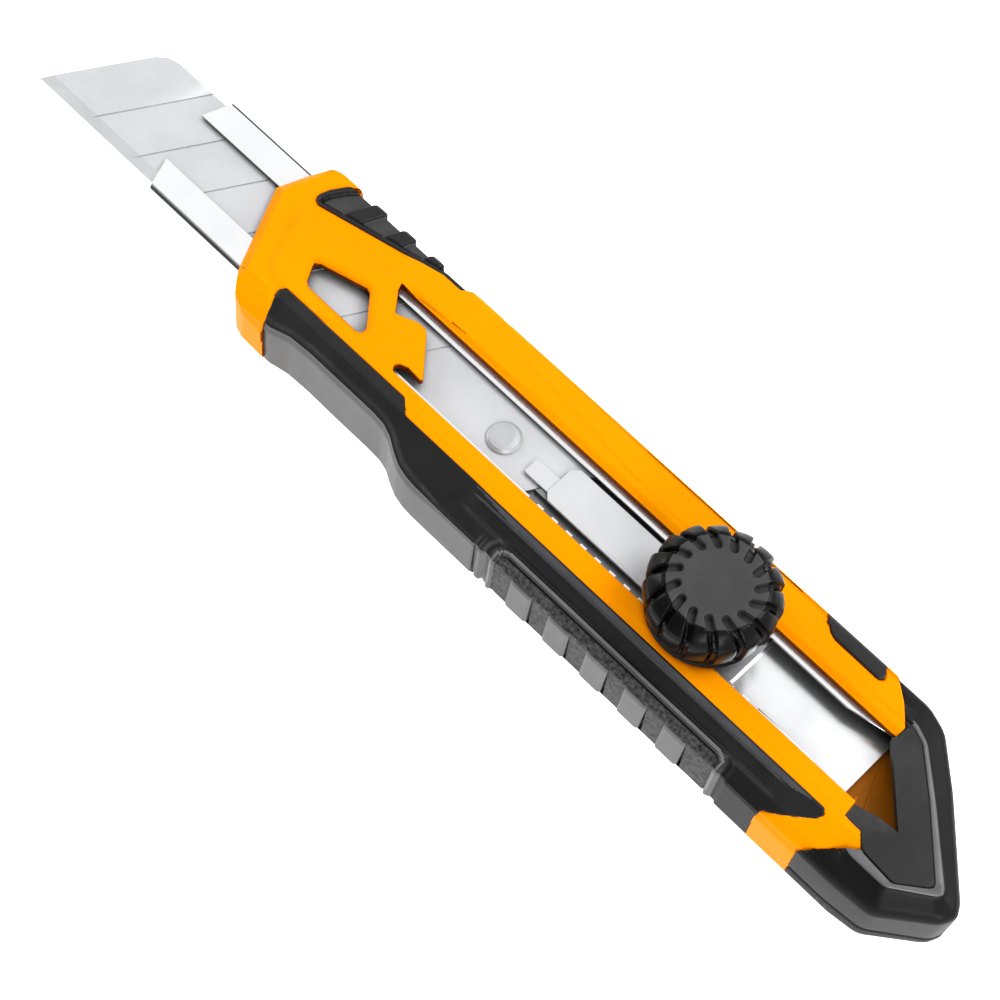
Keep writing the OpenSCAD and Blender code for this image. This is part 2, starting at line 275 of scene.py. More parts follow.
def height_block(name, s_range, y_range, step, height):
    """A closed block from just under the back face up to height(s, y)."""
    ss = np.arange(s_range[0], s_range[1] + step / 2, step)
    ys = np.arange(y_range[0], y_range[1] + step / 2, step)
    grid_s, grid_y = np.meshgrid(ss, ys, indexing="ij")
    rows, cols = grid_s.shape
    rim = (
        [i * cols for i in range(rows)]
        + [(rows - 1) * cols + j for j in range(1, cols)]
        + [i * cols + cols - 1 for i in range(rows - 2, -1, -1)]
        + list(range(cols - 2, 0, -1))
    )
    points = [place(*p) for p in zip(grid_s.ravel(), grid_y.ravel(), height(grid_s, grid_y).ravel())]
    faces = [
        (i * cols + j, i * cols + j + 1, (i + 1) * cols + j + 1, (i + 1) * cols + j)
        for i in range(rows - 1)
        for j in range(cols - 1)
    ]
    foot = [len(points) + k for k in range(len(rim))]
    points += [(points[r][0], points[r][1], -MM) for r in rim]
    faces.append(tuple(foot))
    for k, r in enumerate(rim):
        n = (k + 1) % len(rim)
        faces.append((r, rim[n], foot[n], foot[k]))
    return closed_from_points(name, points, faces)


def tube_faces(rows, n):
    """Faces of a tube with closed ends, drawn through rows of n points each."""
    faces = [
        (i * n + j, i * n + (j + 1) % n, (i + 1) * n + (j + 1) % n, (i + 1) * n + j)
        for i in range(rows - 1)
        for j in range(n)
    ]
    return faces + [tuple(range(n)), tuple((rows - 1) * n + j for j in range(n))]


def loft(name, ss, profile):
    """A closed solid through the cross-sections profile(s), each a closed list of [y, z]."""
    sections = [profile(s) for s in ss]
    points = [place(s, y, z) for s, section in zip(ss, sections) for y, z in section]
    return closed_from_points(name, points, tube_faces(len(ss), len(sections[0])))


def face_values(o, key):
    """One row of x, y and z for each face: its centre or its normal."""
    values = np.zeros(len(o.data.polygons) * 3)
    o.data.polygons.foreach_get(key, values)
    return values.reshape(-1, 3)


def centres(o):
    """s, y and z of every face's middle."""
    return stations(face_values(o, "center"))


def paint(o, kinds):
    """Gives each face its material by number."""
    o.data.polygons.foreach_set("material_index", np.asarray(kinds, int))
    o.data.update()


def finish_piece(o, body, slot, materials, *nodes):
    """Gives a piece its materials, of which the faces keep their numbers, and its body, and hides the CAD
    nodes it replaces. The slot is not used.
    """
    kinds = np.zeros(len(o.data.polygons), int)
    o.data.polygons.foreach_get("material_index", kinds)
    o.data.materials.clear()
    for m in materials:
        o.data.materials.append(m)
    paint(o, kinds)
    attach(o, body)
    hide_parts(*nodes)


# ---- Materials ----


def material(name, **shader):
    """A new Principled material, with what is needed to add textures to it."""
    m = bpy.data.materials.new(name)
    m.use_nodes = True
    nodes, links = m.node_tree.nodes, m.node_tree.links
    bsdf = nodes["Principled BSDF"]
    for key, value in shader.items():
        bsdf.inputs[key.replace("_", " ")].default_value = value
    where = nodes.new("ShaderNodeTexCoord").outputs["Object"]
    return m, nodes, links, bsdf, where


def noise(nodes, links, where, scale, detail=4, roughness=0.6, stretch=None):
    """A noise of the given size in millimetres."""
    if stretch:
        mapping = nodes.new("ShaderNodeMapping")
        mapping.inputs["Scale"].default_value = stretch
        links.new(where, mapping.inputs["Vector"])
        where = mapping.outputs["Vector"]
    n = nodes.new("ShaderNodeTexNoise")
    n.inputs["Scale"].default_value = 1 / (scale * MM)
    n.inputs["Detail"].default_value = detail
    n.inputs["Roughness"].default_value = roughness
    links.new(where, n.inputs["Vector"])
    return n.outputs["Fac"]


def ramp(nodes, links, value, stops):
    """A colour ramp; a stop is its place and a colour, or its place and one grey level."""
    r = nodes.new("ShaderNodeValToRGB")
    while len(r.color_ramp.elements) < len(stops):
        r.color_ramp.elements.new(0.5)
    for e, (at, colour) in zip(r.color_ramp.elements, stops):
        e.position = at
        e.color = (*colour, 1) if len(colour) == 3 else (colour[0],) * 3 + (1,)
    links.new(value, r.inputs["Fac"])
    return r.outputs["Color"]


def map_range(nodes, links, value, source, target, kind="LINEAR"):
    """Maps the source range of a value onto the target range."""
    r = nodes.new("ShaderNodeMapRange")
    r.interpolation_type = kind
    for key, level in zip(("From Min", "From Max", "To Min", "To Max"), (*source, *target)):
        r.inputs[key].default_value = level
    links.new(value, r.inputs["Value"])
    return r.outputs["Result"]


def mixed(nodes, links, factor, a, b, blend="MIX"):
    x = nodes.new("ShaderNodeMix")
    x.data_type = "RGBA"
    x.blend_type = blend
    for socket, value in ((x.inputs["Factor"], factor), (x.inputs["A"], a), (x.inputs["B"], b)):
        if isinstance(value, (int, float)):
            socket.default_value = value
        elif isinstance(value, tuple):
            socket.default_value = (*value, 1)
        else:
            links.new(value, socket)
    return x.outputs["Result"]


def relief(nodes, links, heights):
    """Stacks bumps, each (height output, strength, distance in millimetres)."""
    normal = None
    for value, strength, distance in heights:
        b = nodes.new("ShaderNodeBump")
        b.inputs["Strength"].default_value = strength
        b.inputs["Distance"].default_value = distance * MM
        links.new(value, b.inputs["Height"])
        if normal:
            links.new(normal, b.inputs["Normal"])
        normal = b.outputs["Normal"]
    return normal


def shadowed(nodes, links, colour, crevice_shade, reach, own=False, span=(0.35, 0.85)):
    """Paints shade into a colour in crevices narrower than reach, from ambient occlusion; own looks at the
    piece alone.
    """
    sky = nodes.new("ShaderNodeAmbientOcclusion")
    sky.samples = 8
    sky.only_local = own
    sky.inputs["Distance"].default_value = reach * MM
    cover = ramp(nodes, links, sky.outputs["AO"], [(span[0], crevice_shade), (span[1], (1.0,))])
    return mixed(nodes, links, 1.0, colour, cover, "MULTIPLY")


def worn(nodes, links, colour, smudge, wear):
    """Gives the edges the colour of wear where the smudges lie."""
    pointed = nodes.new("ShaderNodeNewGeometry").outputs["Pointiness"]
    edge = ramp(nodes, links, pointed, [(0.52, (0.0,)), (0.6, (1.0,))])
    spots = ramp(nodes, links, smudge, [(0.45, (0.0,)), (0.65, (1.0,))])
    mask = mixed(nodes, links, 1.0, edge, spots, "MULTIPLY")
    return mixed(nodes, links, mask, colour, wear)


def wall_gloss(nodes, links, levels):
    """Runs from the first gloss level on the front face to the second on the finger-side wall."""
    facing = nodes.new("ShaderNodeSeparateXYZ")
    links.new(nodes.new("ShaderNodeNewGeometry").outputs["Normal"], facing.inputs["Vector"])
    return map_range(nodes, links, facing.outputs["Y"], (0.4, 1.0), levels, "SMOOTHSTEP")


NOISE_SPAN = (0.25, 0.75)      # a noise hardly leaves this range


def moulded(
    name, dark, light, wear, rough,
    grain=0.35, grain_depth=0.02, spot=6, crevice_shade=None, reach=2.0, pit_shade=None, side=None, **shader,
):
    """Moulded plastic or rubber: slow colour drift, fine grain, paler worn edges, and painted shade in
    crevices and deep pits.
    """
    m, nodes, links, bsdf, where = material(name, **shader)
    slow = noise(nodes, links, where, spot, 3)
    fine = noise(nodes, links, where, grain, 2)
    smudge = noise(nodes, links, where, 14, 5, 0.7)
    colour = ramp(nodes, links, slow, [(0.3, dark), (0.7, light)])
    colour = worn(nodes, links, colour, smudge, wear)
    # Painted shade: the colour darkens where ambient occlusion finds crevices
    if crevice_shade:
        colour = shadowed(nodes, links, colour, crevice_shade, reach)
    if side:
        links.new(wall_gloss(nodes, links, side), bsdf.inputs["Specular IOR Level"])
    # Painted shade deep in the piece's own pits, from ambient occlusion over 16 mm
    if pit_shade:
        colour = shadowed(nodes, links, colour, pit_shade, 16.0, True, (0.6, 0.97))
    links.new(colour, bsdf.inputs["Base Color"])
    links.new(map_range(nodes, links, smudge, NOISE_SPAN, rough), bsdf.inputs["Roughness"])
    normal = relief(nodes, links, [(fine, 1.0, grain_depth), (slow, 0.3, 0.05)])
    links.new(normal, bsdf.inputs["Normal"])
    return m


def metal(
    name, dark, light, rough, lines,
    line_depth=0.004, metallic=1.0, crevice_shade=None, reach=5.0, own=False, span=(0.3, 0.9),
):
    """Rolled or ground steel: fine lines one way, faint smudges, small scratches, and painted shade in
    crevices where a shade colour is given.
    """
    m, nodes, links, bsdf, where = material(name, Metallic=metallic)
    brushed = noise(nodes, links, where, 0.25, 3, 0.6, lines)
    smudge = noise(nodes, links, where, 9, 5, 0.65)
    scratch = noise(nodes, links, where, 0.5, 2, 0.5, (0.08, 1.6, 1.0))
    colour = ramp(nodes, links, smudge, [(0.35, dark), (0.65, light)])
    scratched = ramp(nodes, links, scratch, [(0.66, (0.0,)), (0.7, (0.35,))])
    colour = mixed(nodes, links, scratched, colour, dark)
    # Painted shade: the colour darkens where ambient occlusion finds crevices
    if crevice_shade:
        colour = shadowed(nodes, links, colour, crevice_shade, reach, own, span)
    links.new(colour, bsdf.inputs["Base Color"])
    links.new(map_range(nodes, links, smudge, NOISE_SPAN, rough), bsdf.inputs["Roughness"])
    links.new(relief(nodes, links, [(brushed, 0.6, line_depth)]), bsdf.inputs["Normal"])
    return m


ORANGE = moulded(
    "orange_abs", (0.9, 0.272, 0.0), (0.94, 0.292, 0.0), (0.98, 0.36, 0.01), (0.34, 0.46),
    grain=0.5, grain_depth=0.004, spot=18, crevice_shade=(0.55, 0.28, 0.2), reach=1.2, pit_shade=(0.16, 0.08, 0.02),
    Specular_IOR_Level=0.035, Specular_Tint=(1.0, 0.7, 0.2, 1.0),
)
# A darker copy of the orange: painted shade for the floor of the long window
ORANGE_FLOOR_SHADE = moulded(
    "orange_floor_shade", (0.34, 0.1, 0.0), (0.38, 0.115, 0.0), (0.5, 0.17, 0.01), (0.4, 0.5),
    grain=0.5, grain_depth=0.004, spot=18, crevice_shade=(0.45, 0.25, 0.2), reach=2.5, Specular_IOR_Level=0.09,
)
GRIP = moulded(
    "grip_rubber", (0.007, 0.007, 0.0075), (0.011, 0.011, 0.0115), (0.035, 0.035, 0.037), (0.4, 0.5),
    grain=0.3, grain_depth=0.008, spot=5, crevice_shade=(0.2,), reach=0.8, side=(0.25, 0.9),
)
# A lighter copy of the grip rubber: painted highlight on the frame's rib
RIB_HIGHLIGHT = moulded(
    "grip_rib_highlight", (0.1, 0.1, 0.103), (0.13, 0.13, 0.133), (0.18, 0.18, 0.18), (0.38, 0.48),
    grain=0.3, grain_depth=0.006, spot=5,
)
GRIP_DULL = moulded(
    "grip_dull", (0.007, 0.007, 0.0075), (0.011, 0.011, 0.0115), (0.035, 0.035, 0.037), (0.4, 0.5),
    grain=0.3, grain_depth=0.008, spot=5, crevice_shade=(0.2,), reach=0.8, Specular_IOR_Level=0.13,
)
GRIP_BAND = moulded(
    "grip_band", (0.042, 0.044, 0.05), (0.06, 0.063, 0.07), (0.1, 0.1, 0.11), (0.35, 0.45),
    grain=0.3, grain_depth=0.006, spot=5, crevice_shade=(0.4,), reach=0.6, Specular_IOR_Level=0.35,
)
GRIP_GRAIN = moulded(
    "grip_textured", (0.002, 0.002, 0.002), (0.075, 0.075, 0.0755), (0.1, 0.1, 0.1), (0.45, 0.6),
    grain=0.5, grain_depth=0.3, spot=0.6, crevice_shade=(0.3,), reach=0.8, Specular_IOR_Level=0.2,
)
PADS = moulded(
    "pad_rubber", (0.085, 0.085, 0.087), (0.11, 0.11, 0.112), (0.2, 0.2, 0.2), (0.4, 0.5),
    grain=0.3, grain_depth=0.006, spot=5, crevice_shade=(0.5,), reach=0.5, Specular_IOR_Level=0.3,
)
CAP = moulded(
    "cap_plastic", (0.012, 0.012, 0.0125), (0.017, 0.017, 0.0175), (0.04, 0.04, 0.04), (0.42, 0.55),
    grain=0.35, grain_depth=0.012, spot=8, crevice_shade=(0.15,), reach=0.6, Specular_IOR_Level=0.19,
)
# A lighter copy of the thumb rest rubber: painted light on the flats, which face up
THUMB_FLAT_LIT = moulded(
    "thumb_flat_lit", (0.022, 0.022, 0.0225), (0.032, 0.032, 0.0325), (0.07, 0.07, 0.07), (0.45, 0.55),
    grain=0.3, grain_depth=0.01, spot=4, crevice_shade=(0.1,), reach=0.7, Specular_IOR_Level=0.4,
)
# A darker copy of the cap plastic: painted shade on the slopes and wall
CAP_SLOPE_SHADE = moulded(
    "cap_slope_shade", (0.005, 0.005, 0.0052), (0.008, 0.008, 0.0083), (0.03, 0.03, 0.03), (0.36, 0.48),
    grain=0.35, grain_depth=0.008, spot=8, crevice_shade=(0.15,), reach=0.6, Specular_IOR_Level=0.12,
)
# A lighter, glossier copy of the cap plastic: painted highlight on the ring round the panel, whose gloss is
# its own
CAP_RING_HIGHLIGHT = moulded(
    "cap_ring_highlight", (0.07, 0.07, 0.072), (0.1, 0.1, 0.102), (0.14, 0.14, 0.14), (0.3, 0.4),
    grain=0.35, grain_depth=0.005, spot=8, crevice_shade=(0.35,), reach=0.3,
)
KNOB_TOP = moulded(
    "knob_matte", (0.026, 0.026, 0.0267), (0.034, 0.034, 0.0347), (0.07, 0.07, 0.07), (0.5, 0.62),
    grain=0.25, grain_depth=0.008, spot=5, crevice_shade=(0.03,), reach=1.0, Specular_IOR_Level=0.35,
)
KNOB_SIDE = moulded(
    "knob_gloss", (0.003, 0.003, 0.0033), (0.005, 0.005, 0.0054), (0.02, 0.02, 0.02), (0.24, 0.34),
    grain=0.5, grain_depth=0.003, spot=5, crevice_shade=(0.2,), reach=0.8, Specular_IOR_Level=0.1,
)
STEEL = metal(
    "channel_steel", (0.86, 0.865, 0.88), (0.91, 0.915, 0.92), (0.16, 0.24), (0.05, 1.5, 1.5), 0.002,
    metallic=0.85, crevice_shade=(0.1, 0.105, 0.11), reach=4.5, own=True,
)
# Near-black steel: painted shade on the channel's bends and lip edges
BEND_SHADE = metal("channel_bend_shade", (0.04, 0.04, 0.042), (0.07, 0.07, 0.073), (0.3, 0.4), (0.05, 1.5, 1.5), 0.002)
SCORE = metal(
    "score_line", (0.5, 0.5, 0.51), (0.56, 0.56, 0.57), (0.35, 0.45), (1.4, 0.12, 1.0), 0.002, metallic=0.6
)
BLADE = metal(
    "blade_steel", (0.53, 0.535, 0.55), (0.57, 0.575, 0.59), (0.45, 0.55), (1.4, 0.12, 1.0), 0.005,
    metallic=0.55, crevice_shade=(0.18, 0.2, 0.23), reach=3.0, span=(0.3, 0.68),
)
GROUND = metal(
    "ground_edge", (0.56, 0.565, 0.58), (0.64, 0.645, 0.66), (0.25, 0.35), (0.12, 1.4, 1.0), 0.006,
    metallic=0.9,
)
PLATE = metal(
    "plate_grey", (0.52, 0.525, 0.535), (0.555, 0.56, 0.57), (0.42, 0.55), (1, 1, 1), 0.003, metallic=0.2,
    crevice_shade=(0.5,), reach=0.8,
)
STUD = metal(
    "stud_grey", (0.42, 0.425, 0.44), (0.48, 0.485, 0.5), (0.45, 0.55), (1, 1, 1), 0.004, metallic=0.4
)
SLIDER = metal(
    "slider_steel", (0.24, 0.245, 0.255), (0.32, 0.325, 0.335), (0.35, 0.45), (0.05, 1.5, 1),
    crevice_shade=(0.3,), reach=2.0,
)
BRASS = metal("brass", (0.7, 0.52, 0.2), (0.8, 0.62, 0.28), (0.2, 0.35), (1, 1, 1))

# ---- Finger side, which the hard body and the grip share ----

SLOPE_START = 9.6      # y where the slope begins, which falls 1 for every 2 across


def finger_side(t, run):
    """Points on the slope, run millimetres wide, and the wall below it, t millimetres from the upper edge.
    Gives their y and z, and the y and z of the outward normal."""
    slope = math.hypot(run, run / 2)
    share = np.clip(t / slope, 0, 1)
    y = SLOPE_START + share * run + np.minimum(t, 0)
    z = FACE - SKIN - share * (run / 2) - np.clip(t - slope, 0, None)
    turn = fade(t, slope - 1, slope + 1)
    return y, z, 0.447 + 0.553 * turn, 0.894 * (1 - turn)


def rib(t, centre, width):
    """A smooth rise that is 1 at the centre and ends at width from it."""
    return smooth(1 - np.abs(t - centre) / width)


# ---- Handle ----

# Outlines on the front face, and the crease along the thumb side
PLATEAU = [(47, -2.5), (50.8, 6.4), (53.5, 7.4), (62, 6.9), (66, 5.6), (70, -6.2), (62, -4.9), (51, -3)]
SMALL_WINDOW = [
    (54.5, 1.4), (55.4, 0.8), (63.2, -1.4), (64, -1.2), (68.2, 3.6),
    (68.1, 4.6), (67.4, 4.9), (57, 4.9), (56.2, 4.4),
]
CREASE = [(84, -10), (101, -9), (112, -7.9), (121, -7.4), (140, -7.6), (168, -8)]
WINDOW_THUMB = -5.7      # the long window's thumb-side edge

# Finger-side wall of the hard body, where it is not under the grip, and the rise of its back edge at the head
BODY_WALL = [(38, 13.6), (49, 13.6), (52.2, 14.1), (56.4, 14.1), (58, 13.4), (150, 15.8), (190, 15.8)]
UNDER_GRIP = (57, 157)
BACK_RISE = [(39, 2.4), (84, 0)]
BACK_ROUND = 1.3


def handle_relief(s, y):
    """How far the orange front face lies below its highest plane."""
    plateau = 0.3 * smooth(outline_distance(s, y, PLATEAU) / 0.9) * fade(s, 66, 62)
    window_rim = 0.3 * smooth(1 - outline_distance(s, y, SMALL_WINDOW) / 1.1)
    crease = along(CREASE, s)
    tilt = 0.1 * np.clip(crease - y, 0, 6)
    line = 0.12 * rib(y, crease, 0.4)
    edge = WINDOW_THUMB - y
    fall = 0.45 * smooth(1 - edge / 1.1) * (edge > -0.05) * fade(s, 67, 70)
    return plateau + window_rim + (tilt + line) * fade(s, 84, 89) + fall


def side_section(s):
    """The hard body's cross-section with a softly rounded slope, wall and back edge on the finger side."""
    wall = along(BODY_WALL, s) - SKIN
    if UNDER_GRIP[0] < s < UNDER_GRIP[1]:
        wall = 15.77
    run = wall - SLOPE_START
    slope = math.hypot(run, run / 2)
    reach = min(2.6, slope * 0.8)
    t = np.linspace(-1.8, slope + 5, 44)
    y, z, across, upward = finger_side(t, run)
    inset = 0.2 * reach * rib(t, slope, reach) + 0.16 * rib(t, 0, 1.8)
    # The head's own chamfer and edges are left alone
    inset = inset - 0.6 * (1 - fade(s, 48.4, 55.4))
    points = list(zip(y - inset * across, z - inset * upward + 0.1 * fade(t, -0.9, -1.8)))
    rise = along(BACK_RISE, s)
    for a in np.linspace(0, math.pi / 2, 7):
        points.append((wall - BACK_ROUND * (1 - math.cos(a)), rise + BACK_ROUND - 1.28 * math.sin(a)))
    points += [(wall - BACK_ROUND, -2), (-25, -2), (-25, 20), (SLOPE_START - 3, 20)]
    return points + [(SLOPE_START - 2, FACE + 0.15)]


shell = copy_node("handle_body", "handle_shell")
keep_inside(shell, loft("side_cutter", np.arange(38, 180, 0.5), side_section))
rounded(shell, 0.35, shortest=0.36)
slice_front(shell, (40, 76), (-13, 11), 0.6)
slice_front(shell, (76, 168), (-13, -5.4), 0.55)
lower_front(shell, handle_relief)
shade(shell, split=False)
finish_piece(shell, "handle", "orange_abs", [ORANGE, ORANGE_FLOOR_SHADE], "handle_body")

# Painted shade: the floor of the long window, behind the knob, gets a darker copy of the orange
face_s, face_y, face_z = centres(shell)
up = face_values(shell, "normal")[:, 2]
paint(shell, (up > 0.9) & (face_z < FACE - 5) & (np.abs(face_y) < 9) & (face_s > 120))

# ---- Finger grip ----

GRIP_WALL = [
    (50, 13.6), (57.6, 13.55), (61, 12.65), (65, 12.4), (78.5, 12.38), (81, 12.55), (83, 13.2),
    (85, 14.3), (87, 15.2), (89, 15.62), (91, 15.77), (170, 15.77),
]
GRIP_INSIDE = 10.9      # y of the grip's inner side, below the slope
GRIP_FOOT = 0.06
FRAME = (107.0, 151.2, 4.3)     # front end, rear end and upper line of the raised frame round the pads
FRAME_CORNER = 1.6


def frame_distance(s, t):
    """Distance to the frame's line, in the unrolled surface: negative inside it."""
    front, rear, top = FRAME
    ds = np.maximum(front + FRAME_CORNER - s, s - rear + FRAME_CORNER)
    dt = top + FRAME_CORNER - t
    outer = np.hypot(np.maximum(ds, 0), np.maximum(dt, 0))
    return outer + np.minimum(np.maximum(ds, dt), 0) - FRAME_CORNER


def grip_relief(s, t):
    """How far the grip's surface lies inside its smooth outline, t millimetres from the front edge."""
    rear = fade(s, 97, 101)
    step = 0.18 * smooth(1 - t / 0.3) * rear
    valley = 0.5 * fade(t, 1.2, 1.55) * fade(t, 4.1, 3.5) * rear * fade(s, 161, 156)
    grooves = 0.45 * (rib(s, 103.9, 0.45) + rib(s, 105.5, 0.4)) * fade(t, 4.4, 5.6)
    d = frame_distance(s, t)
    panel = 0.36 * fade(d, -0.35, -0.55) + 0.2 * rib(d, -0.7, 0.25)
    moat = 0.4 * fade(d, 0.3, 0.55) * fade(d, 1.9, 1.4) * fade(t, 3, 4)
    return step + valley + grooves + panel + moat


def grip_section(s):
    """The grip's cross-section: down the slope, down the wall, round the back edge and inside."""
    wall = along(GRIP_WALL, s)
    run = wall - SLOPE_START
    slope = math.hypot(run, run / 2)
    radius = min(1.75, wall - GRIP_INSIDE - 0.52)
    down = np.linspace(0.15, FACE - SKIN - run / 2 - radius, 46)
    t = np.concatenate([np.linspace(-3, 0, 5)[:-1], np.linspace(0, slope, 44), slope + down])
    y, z, across, upward = finger_side(t, run)
    reach = 0.9 + 0.9 * fade(s, 98, 90)
    inset = grip_relief(s, t) + 0.24 * reach * rib(t, slope, reach)
    points = list(zip(y - inset * across, z - inset * upward))
    low_y, low_z = points[-1]
    for a in np.linspace(0, math.pi / 2, 7)[1:]:
        points.append((low_y - radius * (1 - math.cos(a)), low_z - (low_z - GRIP_FOOT) * math.sin(a)))
    return points + [(GRIP_INSIDE, GRIP_FOOT), (GRIP_INSIDE, FACE - 2.1), (6.6, FACE - 2.1)]


grip = copy_node("finger_grip", "finger_grip_rubber")
keep_inside(grip, loft("grip_cutter", np.arange(53.6, 167.4, 0.35), grip_section))
shade(grip, 40)
finish_piece(grip, "handle", "grip_rubber", [GRIP, GRIP_BAND, GRIP_GRAIN, RIB_HIGHLIGHT, GRIP_DULL], "finger_grip")

face_s, face_y, face_z = centres(grip)
# Distance from the front edge: 1.118 a millimetre on the slope, and 6.9 where the wall begins, at z = 11
face_t = np.where(face_y < 15.0, (face_y - SLOPE_START) * 1.118, 6.9 + 11 - face_z)
on_wall = face_y > 13.5
taper = np.clip((face_s - 97) / 9, 0, 1) * np.clip((164 - face_s) / 4, 0, 1)
banded = (face_t > 0.28) & (face_t < 0.28 + 0.9 * taper) & (face_z > FACE - 1.2)
grained = (frame_distance(face_s, face_t) < -0.6) & on_wall
# Painted highlight along the frame's rib
rib_highlight = (np.abs(frame_distance(face_s, face_t)) < 0.22) & (face_z > 3)
behind_frame = (face_s > 151.8) & on_wall
paint(grip, np.select([banded, grained, rib_highlight, behind_frame], [1, 2, 3, 4], 0))

# ---- Grip pads, which stand a little proud of the textured wall between them ----

PAD_LOW, PAD_HIGH = 1.3, 10.2
PAD_INSIDE, PAD_OUTSIDE = 14.4, 15.76
PAD_WIDTH = 4.2
PAD_LEAN = 0.3
PAD_ROUND, PAD_ROUND_WIDTH = 0.28, 0.35
PAD_COUNT = 5


def pad_inset(distance):
    """How far a pad's face falls back at a distance from its edge."""
    return PAD_ROUND * (1 - fade(distance, 0, PAD_ROUND_WIDTH))


def grip_pad(first):
    """One pad: a cushion-shaped block with rounded edges. Its upper end begins at s = first, and its
    foot lies a little further forward."""

    def section(s):
        zs = np.linspace(PAD_LOW, PAD_HIGH, 25)
        sides = pad_inset(min(s - first, first + PAD_WIDTH - s))
        ends = pad_inset(np.minimum(zs - PAD_LOW, PAD_HIGH - zs))
        ys = PAD_OUTSIDE - sides - ends
        return [(PAD_INSIDE, PAD_LOW)] + list(zip(ys, zs)) + [(PAD_INSIDE, PAD_HIGH)]

    us = np.concatenate([[0, 0.02, 0.05, 0.09], np.linspace(0.15, 0.85, 8), [0.91, 0.95, 0.98, 1]])
    o = loft("grip_pad_set", first + us * PAD_WIDTH, section)
    for v in o.data.vertices:
        up = (v.co.z / MM - PAD_LOW) / (PAD_HIGH - PAD_LOW)
        v.co.x += PAD_LEAN * (1 - up) * MM
    return o


def repeated(o, count, pitch):
    """Repeats a mesh along the handle, so that it is there count times."""
    with editing(o) as bm:
        first = bm.verts[:] + bm.edges[:] + bm.faces[:]
        for i in range(1, count):
            made = bmesh.ops.duplicate(bm, geom=first)
            moved = [g for g in made["geom"] if isinstance(g, bmesh.types.BMVert)]
            bmesh.ops.translate(bm, verts=moved, vec=(-i * pitch * MM, 0, 0))
    return o


pads_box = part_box("grip_pads")
pad_front, pad_rear = TIP - pads_box[1].x / MM, TIP - pads_box[0].x / MM
pad_pitch = (pad_rear - pad_front - PAD_WIDTH - PAD_LEAN) / (PAD_COUNT - 1)
pads = repeated(grip_pad(pad_front), PAD_COUNT, pad_pitch)
shade(pads, 50)
finish_piece(pads, "handle", "pad_rubber", [PADS], "grip_pads")

# ---- Thumb rest ----

RIDGES = (54.6, 60.9, 67.0)
THUMB_FRONT = [
    (50, -14.2), (49.7, -13.2), (48.2, -11.5), (46.8, -9.1), (46.3, -7.4), (46.6, -6), (80, -5), (80, -14.2),
]


def thumb_front(s, y):
    """Height of the thumb rest's front face: a rim, and flats between slanted bands."""
    rim = -line_distance(s, y, (47.6, -6.1), (70.2, -11.6))
    rim = np.minimum(rim, -outline_distance(s, y, THUMB_FRONT))
    slanted = s + 0.41 * (y + 12.9)
    band = sum(fade(np.abs(slanted - c), 1.6, 1.05) for c in RIDGES)
    flat = fade(rim, 0.5, 0.9) * (0.75 - 0.6 * np.clip(band, 0, 1))
    return FACE - 0.04 - flat - 0.3 * rib(rim, 0.8, 0.35)


def thumb_section(s):
    """The thumb rest's cross-section, further out on the ridges than between them."""
    hump = sum(fade(abs(s - c), 1.75, 0.75) for c in RIDGES)
    side = THUMB_FACE + 0.04 + 0.84 * (1 - np.clip(hump, 0, 1))
    return [(side, -2), (side, 13.0), (side + 0.15, 13.5), (side + 0.6, 14.5), (-4, 15), (-4, -2)]


rest = copy_node("thumb_rest", "thumb_rest_rubber")
keep_inside(rest, height_block("thumb_top", (45, 78), (-15, -5), 0.13, thumb_front))
keep_inside(rest, loft("thumb_cutter", np.arange(45, 78, 0.25), thumb_section))
shade(rest, 40)
finish_piece(rest, "handle", "grip_rubber", [GRIP, THUMB_FLAT_LIT], "thumb_rest")
face_s, face_y, face_z = centres(rest)
# The flats get painted light
paint(rest, (face_z < FACE - 0.6) & (face_z > FACE - 0.9))

# ---- Rear inlay ----

inlay = rounded(copy_node("rear_inlay", "rear_inlay_rubber"), 0.3)
shade(inlay)
finish_piece(inlay, "handle", "grip_rubber", [GRIP], "rear_inlay")

# ---- End cap ----

# Matching points round the cap: the panel's outline, the ring's outline, the outer wall and the wall's height
CAP_COLUMNS = [
    ((152, -8.2), (152, -9.3), (152, -13.2), 13.0),
    ((166.2, -8.3), (166.5, -9.3), (166.2, -13.2), 13.0),
    ((168.7, -7.4), (169.4, -8.1), (170.0, -12.0), 12.7),
    ((174.8, -1.7), (175.6, -2.5), (176.8, -5.9), 12.3),
    ((183.0, 6.7), (184.7, 6.3), (187.6, 5.4), 12.3),
    ((183.2, 7.2), (185.1, 7.1), (188.6, 7.3), 12.3),
    ((182.8, 7.8), (184.6, 7.8), (187.6, 9.6), 12.2),
    ((179.2, 10.7), (178.6, 12.1), (179.9, 15.3), 10.9),
    ((173.6, 10.3), (172.3, 12.1), (173.5, 15.8), 10.9),
    ((170.0, 8.4), (168.8, 10.8), (168.5, 15.8), 10.9),
    ((152, 8.4), (152, 10.8), (152, 15.8), 10.9),
]
PANEL_OUTLINE = [c[0] for c in CAP_COLUMNS]
RING_OUTLINE = [c[1] for c in CAP_COLUMNS]
CAP_TOP = FACE - 0.04
CAP_RADIUS = 1.1
CAP_RISE = [(172, 0), (188.6, 1.9)]      # the back edge rises towards the point
PARTING = 3.75


def softened(line, reach, share=0.3, steps=4):
    """The line with its corners drawn as short curves, always with the same number of points."""
    line = np.array(line, float)
    out = [line[0]]
    for before, corner, after in zip(line, line[1:], line[2:]):
        a, b = before - corner, after - corner
        start = corner + a * min(share, reach / np.linalg.norm(a))
        end = corner + b * min(share, reach / np.linalg.norm(b))
        for t in np.linspace(0, 1, steps):
            out.append(start * (1 - t) ** 2 + 2 * corner * t * (1 - t) + end * t * t)
    return np.array(out + [line[-1]])


